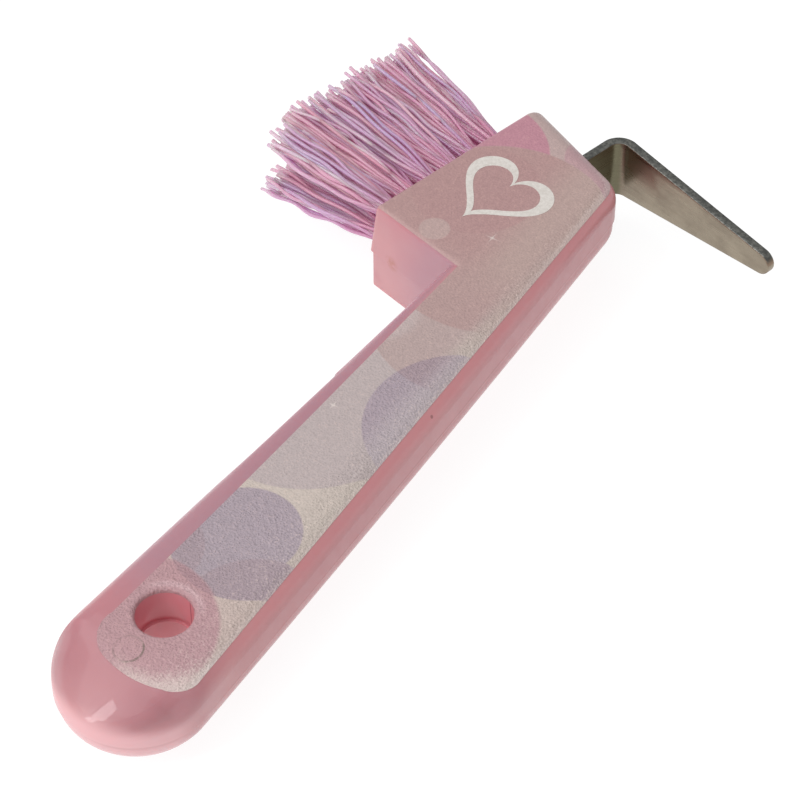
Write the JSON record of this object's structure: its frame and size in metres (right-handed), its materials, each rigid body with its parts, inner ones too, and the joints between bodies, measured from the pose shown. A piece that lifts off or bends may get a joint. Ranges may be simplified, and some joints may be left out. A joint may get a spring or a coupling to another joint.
{
  "type": "hoof pick",
  "caption": "Hoof pick: a moulded plastic bar with a hang hole, a brush on the side of its head, and a bent steel pick out of its end.",
  "frame": {"origin": "on the axis of the hang hole, in the plane where the two halves of the mould meet", "axes": "+Z out of the printed face, +Y along the bar from the hang hole to the head, +X towards the side that the blade points to"},
  "size_m": [0.0968, 0.1689, 0.0206],
  "materials": {
    "pink_plastic": "glossy, slightly translucent pale pink injection moulding",
    "printed_film": "satin printed film with a fine leather-like grain",
    "steel": "mill finish strap with sheared edges",
    "bristle": "glossy pink and lilac filaments",
    "anchor_metal": "plain cut strip"
  },
  "bodies": {
    "root": {"handle_moulding": "pink_plastic", "print_film": "printed_film", "steel_pick": "steel", "tuft_row1_col1": "bristle", "tuft_row1_col2": "bristle", "tuft_row1_col3": "bristle", "tuft_row1_col4": "bristle", "tuft_row1_col5": "bristle", "tuft_row1_col6": "bristle", "tuft_row2_col1": "bristle", "tuft_row2_col2": "bristle", "tuft_row2_col3": "bristle", "tuft_row2_col4": "bristle", "tuft_row2_col5": "bristle", "tuft_row2_col6": "bristle", "tuft_anchors": "anchor_metal"}
  },
  "joints": []
}
